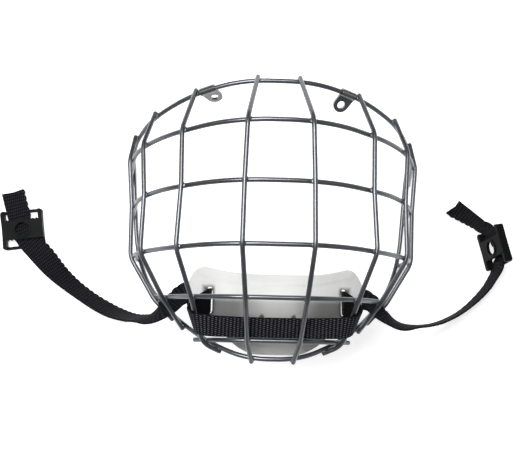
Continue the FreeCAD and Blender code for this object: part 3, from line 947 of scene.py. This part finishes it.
class GUARD_OT_webbing(bpy.types.Operator):
    """Two straps and the length in front of the chin, woven and declared"""
    bl_idname = "guard.webbing"
    bl_label = "Webbing"

    def execute(self, context):
        settings = context.scene.guard_webbing
        colour = tuple(settings.colour)
        nylon = woven("black webbing", colour, settings.painted_glint)
        dull = woven("black strap webbing", colour, settings.strap_speck)
        step = settings.rib / STEPS_PER_RIB
        right = [Vector((x + s, y, z)) * MM for x, y, z, s in FRONT_ROUTE]
        left = [Vector((s - x, y, z)) * MM for x, y, z, s in reversed(FRONT_ROUTE)]
        leans = [(radians(tip), radians(splay)) for tip, splay in FRONT_LEANS]
        half = [Vector((sin(splay), cos(tip), sin(tip))).normalized() for tip, splay in leans]
        mirrored = [Vector((-side.x, side.y, side.z)) for side in reversed(half)]
        line = stations("front", left + right, mirrored + half, step)[0]
        front = woven_band("chin_webbing", line, settings, glint_fade_length=settings.glint_fade_length)
        dress(front, nylon, "black_webbing")
        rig.replaces(front, "front_webbing")
        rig.ride(front, "cage")
        for hand, route in (("left", LEFT_ROUTE), ("right", RIGHT_ROUTE)):
            points, sides = strap_sides(route, hand)
            line, length, path = stations(hand, points, sides, step)
            loops, cut = STRAP_ENDS[hand]
            strap = woven_band(hand + "_webbing", line, settings, loops, cut)
            dress(strap, dull, "black_webbing")
            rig.replaces(strap, hand + "_strap")
            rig.ride(strap, "cage")
            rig.cord(strap, exit=path[0], length=length, diameter=settings.width,
                    far_end="bare", stiffness="medium", lay="loose", path=path,
                    with_pieces=[hand + "_buckle"])
        return {"FINISHED"}


def held_place(hand):
    """Matrix from a buckle's along, across and above to the model, in metres."""
    centre, along, across, _ = held_axes(hand)
    turn = Matrix((along, across, along.cross(across))).transposed().to_4x4()
    return Matrix.Translation(centre * MM) @ turn @ Matrix.Scale(MM, 4)


def corner_block(name, hand, low, high):
    """Upright piece of rail with its outer corner rounded, in a buckle's own directions."""
    bm = bmesh.new()
    bmesh.ops.create_cube(bm, size=1.0)
    low, high = Vector(low), Vector(high)
    size = Matrix.Diagonal((*(high - low), 1.0))
    bmesh.ops.transform(bm, matrix=Matrix.Translation((low + high) / 2) @ size, verts=bm.verts)
    outer = [e for e in bm.edges if all(v.co.x < low.x + CORNER_SLACK and
                                        v.co.y < low.y + CORNER_SLACK for v in e.verts)]
    bmesh.ops.bevel(bm, geom=outer, offset=CORNER_RADIUS, segments=8, profile=0.5,
                    affect="EDGES", material=-1)
    rims = [e for e in bm.edges if e.calc_face_angle(0.0) > CORNER_SHARP]
    bmesh.ops.bevel(bm, geom=rims, offset=CORNER_EDGE, segments=2, profile=0.5,
                    affect="EDGES", material=-1)
    bmesh.ops.transform(bm, matrix=held_place(hand), verts=bm.verts)
    block = piece_from(bm, name)
    block.data.shade_smooth()
    return block


class GUARD_OT_buckles(bpy.types.Operator):
    """Black nylon finish on the two snap buckles, and the right one's full corner"""
    bl_idname = "guard.buckles"
    bl_label = "Snap buckles"

    def execute(self, context):
        settings = context.scene.guard_moulding
        nylon = moulded("black nylon", tuple(settings.buckle), roughness=0.42,
                        texture=0.01 * MM, gloss=0.05)
        for name in BUCKLES:
            buckle = frame["nodes"][name]
            dress(buckle, nylon, "black_nylon")
            soften(buckle, settings.edge)
        corner = corner_block("right_buckle_corner", "right", CORNER_LOW, CORNER_HIGH)
        dress(corner, nylon, "black_nylon")
        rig.ride(corner, "right_snap")
        return {"FINISHED"}


OPERATORS = (GUARD_OT_stage, GUARD_OT_wires, GUARD_OT_clips, GUARD_OT_cup, GUARD_OT_webbing,
             GUARD_OT_buckles)


class GUARD_PT_panel(bpy.types.Panel):
    """Every step of the face guard"""
    bl_idname = "GUARD_PT_panel"
    bl_label = "Face guard"
    bl_space_type = "VIEW_3D"
    bl_region_type = "UI"
    bl_category = "Face guard"

    def draw(self, context):
        scene = context.scene
        for group in (scene.guard_steel, scene.guard_webbing, scene.guard_moulding,
                      scene.guard_stage):
            box = self.layout.box()
            for name in group.bl_rna.properties.keys():
                if name not in ("rna_type", "name"):
                    box.prop(group, name)
        for operator in OPERATORS:
            self.layout.operator(operator.bl_idname)


SETTINGS = {"guard_steel": SteelSettings, "guard_webbing": WebbingSettings,
            "guard_moulding": MouldingSettings, "guard_stage": StageSettings}


def register():
    for group in SETTINGS.values():
        bpy.utils.register_class(group)
    for operator in OPERATORS:
        bpy.utils.register_class(operator)
    bpy.utils.register_class(GUARD_PT_panel)
    for name, group in SETTINGS.items():
        setattr(bpy.types.Scene, name, PointerProperty(type=group))


def unregister():
    for name in SETTINGS:
        delattr(bpy.types.Scene, name)
    bpy.utils.unregister_class(GUARD_PT_panel)
    for operator in reversed(OPERATORS):
        bpy.utils.unregister_class(operator)
    for group in SETTINGS.values():
        bpy.utils.unregister_class(group)


def main():
    register()
    bpy.ops.guard.stage()
    bpy.ops.guard.wires()
    bpy.ops.guard.clips()
    bpy.ops.guard.cup()
    bpy.ops.guard.webbing()
    bpy.ops.guard.buckles()
    low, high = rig.bounds()
    with open(SIZE_FILE, "w") as f:
        json.dump({"cad": [list(p) for p in CAD_BOX], "visual": [list(low), list(high)]}, f)


if __name__ == "__main__":
    main()
